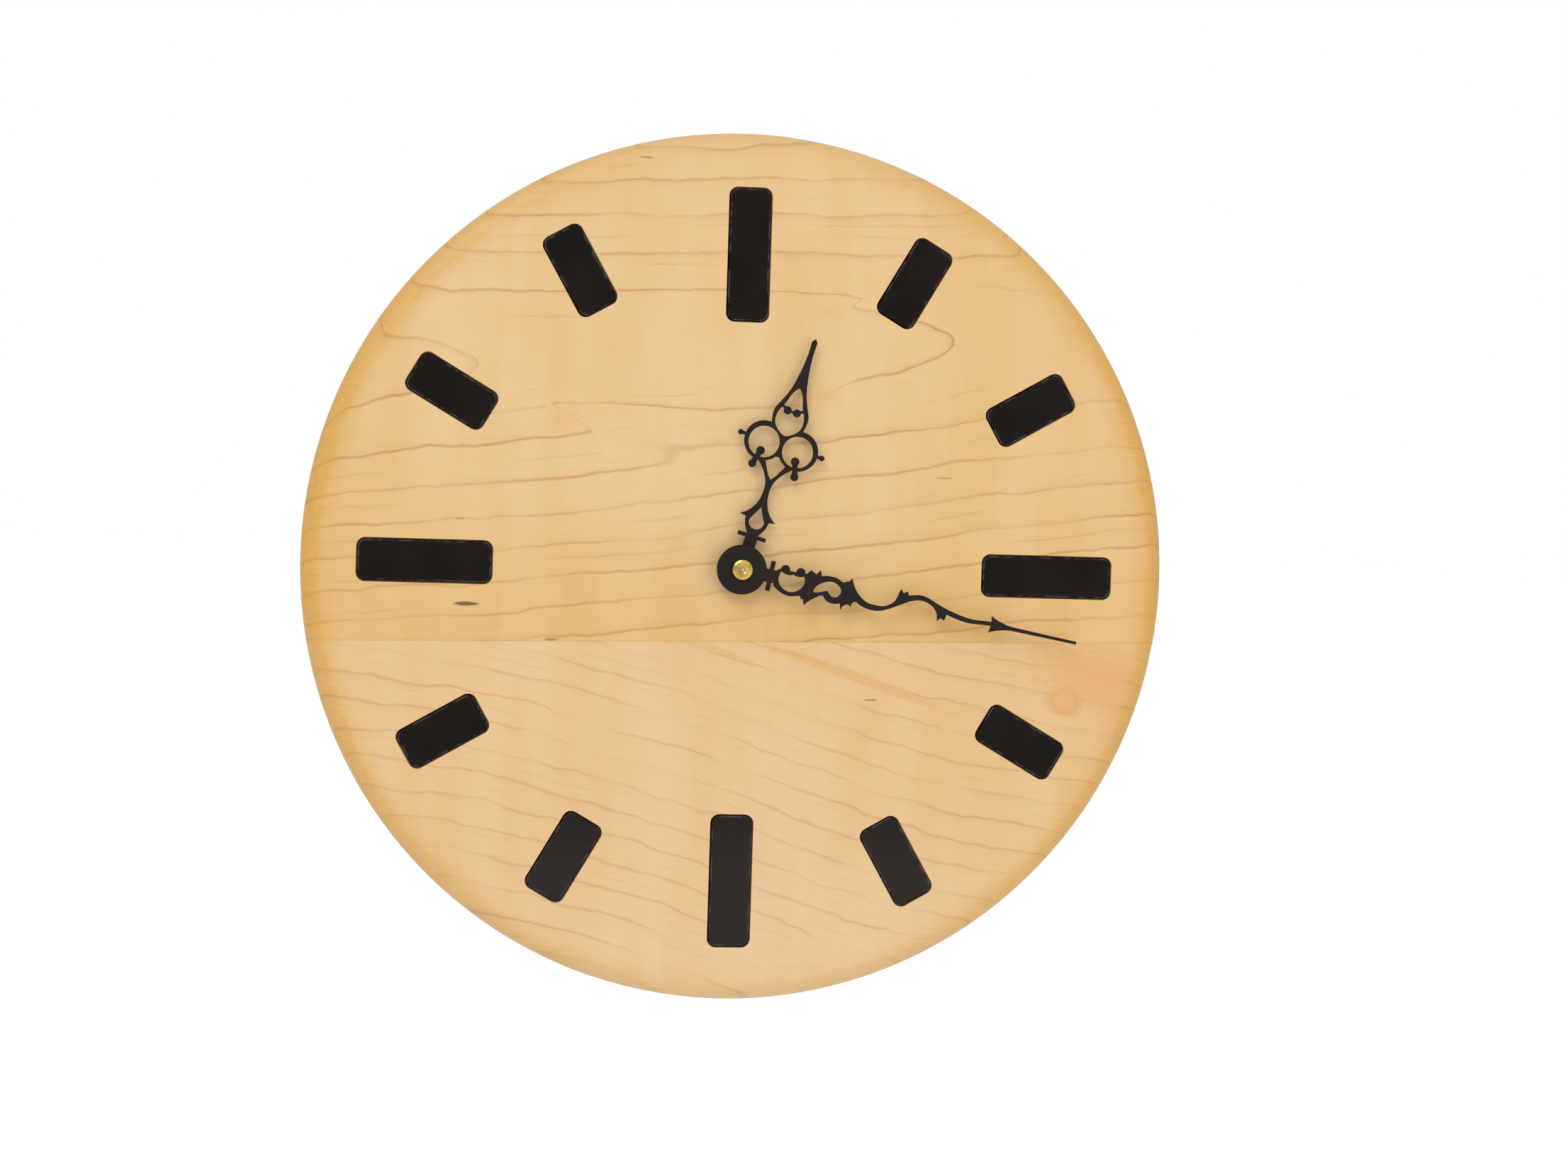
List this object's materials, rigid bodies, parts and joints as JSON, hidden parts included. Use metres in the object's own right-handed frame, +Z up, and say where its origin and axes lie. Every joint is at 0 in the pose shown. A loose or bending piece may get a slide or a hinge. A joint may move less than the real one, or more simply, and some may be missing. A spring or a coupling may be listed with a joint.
{
  "type": "wall clock",
  "caption": "Round solid-wood wall clock with inlaid black hour bars, serpentine black hands, a battery quartz movement behind the dial and a sawtooth hanger.",
  "frame": {"origin": "where the axis of the hands meets the plane of the back face, which is the wall", "axes": "+Y into the wall, along the axis of the hands; +Z up towards 12; +X to the right seen from the front, towards 3"},
  "size_m": [0.3048, 0.0305, 0.3048],
  "materials": {
    "maple": "satin lacquer",
    "black_bar": "satin",
    "black_hand": "satin",
    "brass": "polished",
    "case_black": "moulded",
    "gear_white": "moulded",
    "wheel_brass": "stamped",
    "steel": "stamped",
    "magnet": "sintered",
    "bobbin": "moulded",
    "copper": "enamelled wire",
    "board_green": "solder mask",
    "epoxy": "cast",
    "crystal_can": "drawn",
    "rubber": "matte",
    "battery": "printed sleeve"
  },
  "bodies": {
    "clock_body": {"case_cover": "case_black", "case_front": "case_black", "circuit_board": "board_green", "coil_bobbin": "bobbin", "coil_core": "steel", "coil_winding": "copper", "control_chip": "epoxy", "dial_gasket": "rubber", "dial_washer": "brass", "hanger_nails": "steel", "hex_nut": "brass", "hour_bar_01": "black_bar", "hour_bar_02": "black_bar", "hour_bar_03": "black_bar", "hour_bar_04": "black_bar", "hour_bar_05": "black_bar", "hour_bar_06": "black_bar", "hour_bar_07": "black_bar", "hour_bar_08": "black_bar", "hour_bar_09": "black_bar", "hour_bar_10": "black_bar", "hour_bar_11": "black_bar", "hour_bar_12": "black_bar", "lower_board": "maple", "negative_contact": "steel", "positive_contact": "steel", "quartz_crystal": "crystal_can", "sawtooth_hanger": "steel", "stator": "steel", "threaded_bushing": "brass", "train_bridge": "gear_white", "upper_board": "maple"},
    "minute_arbor": {"minute_arbor": "wheel_brass", "centre_wheel": "wheel_brass", "minute_hand": "black_hand", "hand_nut": "brass"},
    "hour_wheel": {"hour_wheel": "gear_white", "hour_hand": "black_hand", "hour_collet": "black_hand"},
    "transfer_wheel": {"transfer_wheel": "gear_white"},
    "set_knob": {"set_knob": "gear_white"},
    "third_wheel": {"third_wheel": "gear_white"},
    "seconds_wheel": {"seconds_wheel": "gear_white", "seconds_arbor": "steel"},
    "intermediate_wheel": {"intermediate_wheel": "gear_white"},
    "rotor": {"rotor_pinion": "gear_white", "rotor_magnet": "magnet"},
    "battery": {"battery": "battery"}
  },
  "joints": [
    {"name": "minute_hand_turn", "type": "hinge", "parent": "clock_body", "child": "minute_arbor", "pos_m": [0, -0.02, 0], "axis": [0, 1, 0], "continuous": true},
    {"name": "hour_hand_turn", "type": "hinge", "parent": "clock_body", "child": "hour_wheel", "pos_m": [0, -0.02, 0], "axis": [0, 1, 0], "continuous": true},
    {"name": "transfer_turn", "type": "hinge", "parent": "clock_body", "child": "transfer_wheel", "pos_m": [0.00727, -0.014, 0.0042], "axis": [0, 1, 0], "continuous": true},
    {"name": "knob_turn", "type": "hinge", "parent": "clock_body", "child": "set_knob", "pos_m": [0.01672, -0.008, 0.0042], "axis": [0, 1, 0], "continuous": true},
    {"name": "third_turn", "type": "hinge", "parent": "clock_body", "child": "third_wheel", "pos_m": [-0.009, -0.009, 0], "axis": [0, 1, 0], "continuous": true},
    {"name": "seconds_turn", "type": "hinge", "parent": "clock_body", "child": "seconds_wheel", "pos_m": [0, -0.01, 0], "axis": [0, 1, 0], "continuous": true},
    {"name": "intermediate_turn", "type": "hinge", "parent": "clock_body", "child": "intermediate_wheel", "pos_m": [-0.00163, -0.008, 0.00922], "axis": [0, 1, 0], "continuous": true},
    {"name": "rotor_turn", "type": "hinge", "parent": "clock_body", "child": "rotor", "pos_m": [-0.00163, -0.008, 0.01538], "axis": [0, 1, 0], "continuous": true},
    {"name": "battery_slide", "type": "slide", "parent": "clock_body", "child": "battery", "axis": [0, 1, 0], "range_m": [0, 0.02]}
  ],
  "couplings": [
    {"joint": "hour_hand_turn", "follows": "minute_hand_turn", "ratio": 0.083333},
    {"joint": "transfer_turn", "follows": "minute_hand_turn", "ratio": -0.33333},
    {"joint": "knob_turn", "follows": "minute_hand_turn", "ratio": 0.66667},
    {"joint": "third_turn", "follows": "minute_hand_turn", "ratio": -8},
    {"joint": "seconds_turn", "follows": "minute_hand_turn", "ratio": 60},
    {"joint": "intermediate_turn", "follows": "minute_hand_turn", "ratio": -300},
    {"joint": "rotor_turn", "follows": "minute_hand_turn", "ratio": 1800}
  ]
}
